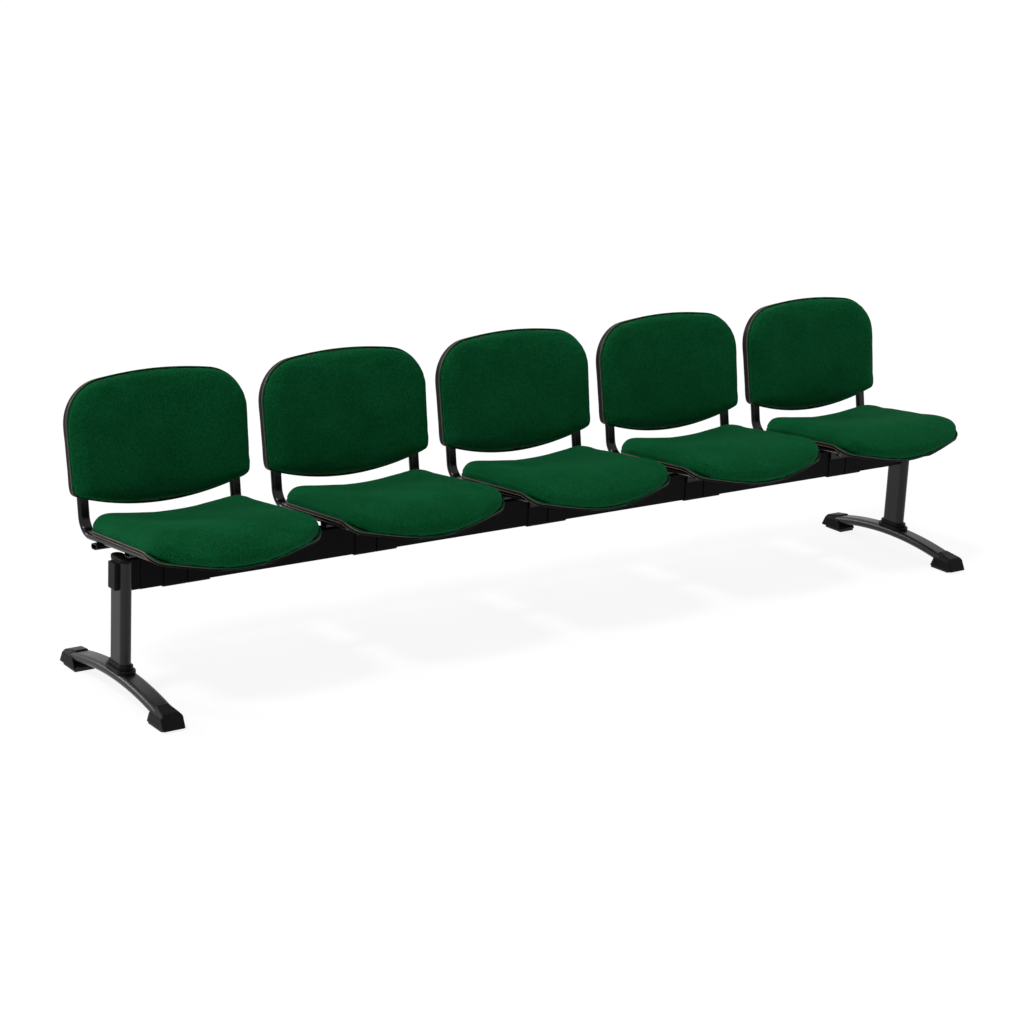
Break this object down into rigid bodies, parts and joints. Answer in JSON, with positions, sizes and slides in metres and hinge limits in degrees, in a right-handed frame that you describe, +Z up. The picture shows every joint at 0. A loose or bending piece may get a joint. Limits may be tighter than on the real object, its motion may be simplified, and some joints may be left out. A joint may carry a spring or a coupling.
{
  "type": "beam seating",
  "caption": "Bench of upholstered seats and backs clamped to one steel beam between two arched-foot legs, for waiting areas.",
  "frame": {"origin": "on the floor, under the middle of the beam", "axes": "+X along the beam to the sitter's left, -Y the way the seats face, +Z up"},
  "size_m": [2.7054, 0.56, 0.7479],
  "materials": {
    "green_weave": "woven upholstery cloth",
    "plywood": "plain plywood",
    "black_moulding": "fine moulded grain",
    "dark_moulding": "fine moulded grain",
    "gloss_black_enamel": "gloss stoved enamel",
    "satin_black_enamel": "satin powder coat",
    "sole_rubber": "matt rubber",
    "dark_steel": "blackened fasteners"
  },
  "bodies": {
    "root": {"seat_cushion_1": "green_weave", "back_cushion_1": "green_weave", "seat_board_1": "plywood", "back_board_1": "plywood", "seat_shell_1": "black_moulding", "back_shell_1": "black_moulding", "seat_frame_1": "gloss_black_enamel", "beam_clamp_1": "satin_black_enamel", "seat_cushion_2": "green_weave", "back_cushion_2": "green_weave", "seat_board_2": "plywood", "back_board_2": "plywood", "seat_shell_2": "black_moulding", "back_shell_2": "black_moulding", "seat_frame_2": "gloss_black_enamel", "beam_clamp_2": "satin_black_enamel", "seat_cushion_3": "green_weave", "back_cushion_3": "green_weave", "seat_board_3": "plywood", "back_board_3": "plywood", "seat_shell_3": "black_moulding", "back_shell_3": "black_moulding", "seat_frame_3": "gloss_black_enamel", "beam_clamp_3": "satin_black_enamel", "seat_cushion_4": "green_weave", "back_cushion_4": "green_weave", "seat_board_4": "plywood", "back_board_4": "plywood", "seat_shell_4": "black_moulding", "back_shell_4": "black_moulding", "seat_frame_4": "gloss_black_enamel", "beam_clamp_4": "satin_black_enamel", "seat_cushion_5": "green_weave", "back_cushion_5": "green_weave", "seat_board_5": "plywood", "back_board_5": "plywood", "seat_shell_5": "black_moulding", "back_shell_5": "black_moulding", "seat_frame_5": "gloss_black_enamel", "beam_clamp_5": "satin_black_enamel", "beam": "satin_black_enamel", "left_upright": "gloss_black_enamel", "left_foot_tube": "gloss_black_enamel", "left_beam_socket": "satin_black_enamel", "left_collar": "dark_moulding", "left_top_cap": "dark_moulding", "left_bolt_cover": "dark_moulding", "left_foot_caps": "dark_moulding", "right_upright": "gloss_black_enamel", "right_foot_tube": "gloss_black_enamel", "right_beam_socket": "satin_black_enamel", "right_collar": "dark_moulding", "right_top_cap": "dark_moulding", "right_bolt_cover": "dark_moulding", "right_foot_caps": "dark_moulding", "foot_pads": "sole_rubber", "clamp_bolts": "dark_steel", "seat_screws": "dark_steel", "back_screws": "dark_steel", "leg_bolts": "dark_steel"}
  },
  "joints": []
}
